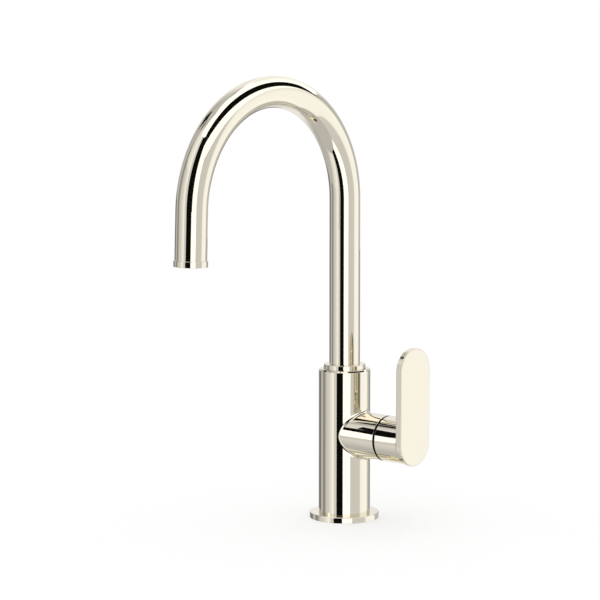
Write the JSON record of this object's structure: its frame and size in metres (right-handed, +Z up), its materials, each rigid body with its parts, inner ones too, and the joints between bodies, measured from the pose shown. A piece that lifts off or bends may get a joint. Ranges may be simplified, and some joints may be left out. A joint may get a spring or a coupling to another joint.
{
  "type": "gooseneck bar faucet",
  "caption": "Gooseneck bar faucet on a round column, with a swivelling bent-tube spout and a flat rounded side lever that turns for temperature and tilts for flow.",
  "frame": {"origin": "centre of the base flange's underside, on the deck's surface and on the column's axis", "axes": "+Z up along the column, -Y towards the spout's outlet, +X towards the lever"},
  "size_m": [0.1025, 0.2226, 0.4221],
  "materials": {
    "polished_nickel": "mirror polished nickel plate, warm",
    "raw_brass": "machined",
    "black_rubber": "matt moulded rubber",
    "white_acetal": "moulded acetal",
    "white_ceramic": "lapped alumina ceramic",
    "stainless_steel": "stainless steel"
  },
  "bodies": {
    "column": {"base_flange": "polished_nickel", "base_gasket": "black_rubber", "body_shell": "polished_nickel", "valve_block": "raw_brass", "threaded_shank": "raw_brass", "rubber_washer": "black_rubber", "steel_washer": "stainless_steel", "mounting_nut": "raw_brass", "cartridge_housing": "white_acetal", "cartridge_base": "white_acetal", "port_seals": "black_rubber", "fixed_disc": "white_ceramic", "retaining_nut": "raw_brass", "dome_cap": "polished_nickel", "thrust_washer": "white_acetal", "lock_screw": "stainless_steel"},
    "turret": {"turret": "white_acetal", "turret_seal": "black_rubber", "pivot_pin": "stainless_steel"},
    "disc": {"disc_carrier": "white_acetal", "moving_disc": "white_ceramic"},
    "lever": {"lever_stem": "raw_brass", "handle_hub": "polished_nickel", "lever_plate": "polished_nickel", "grip_screw": "stainless_steel", "grip_screw_plug": "polished_nickel"},
    "spout": {"spout_tube": "polished_nickel", "spout_collar": "polished_nickel", "spout_nipple": "raw_brass", "spigot_seals": "black_rubber", "collar_bushing": "white_acetal", "outlet_ring": "polished_nickel", "aerator_body": "white_acetal", "aerator_screen": "stainless_steel", "aerator_washer": "black_rubber"}
  },
  "joints": [
    {"name": "spout_swivel", "type": "hinge", "parent": "column", "child": "spout", "pos_m": [0, 0, 0.1], "axis": [0, 0, 1], "continuous": true},
    {"name": "temperature_turn", "type": "hinge", "parent": "column", "child": "turret", "pos_m": [0.0355, 0, 0.0706], "axis": [1, 0, 0], "range_deg": [-45, 45]},
    {"name": "lever_tilt", "type": "hinge", "parent": "turret", "child": "lever", "pos_m": [0.0355, 0, 0.0706], "axis": [0, 1, 0], "range_deg": [0, 22]},
    {"name": "disc_slide", "type": "slide", "parent": "turret", "child": "disc", "axis": [0, 0, 1], "range_m": [0, 0.00382]}
  ],
  "couplings": [
    {"joint": "disc_slide", "follows": "lever_tilt", "m_per_rad": 0.0099387}
  ]
}
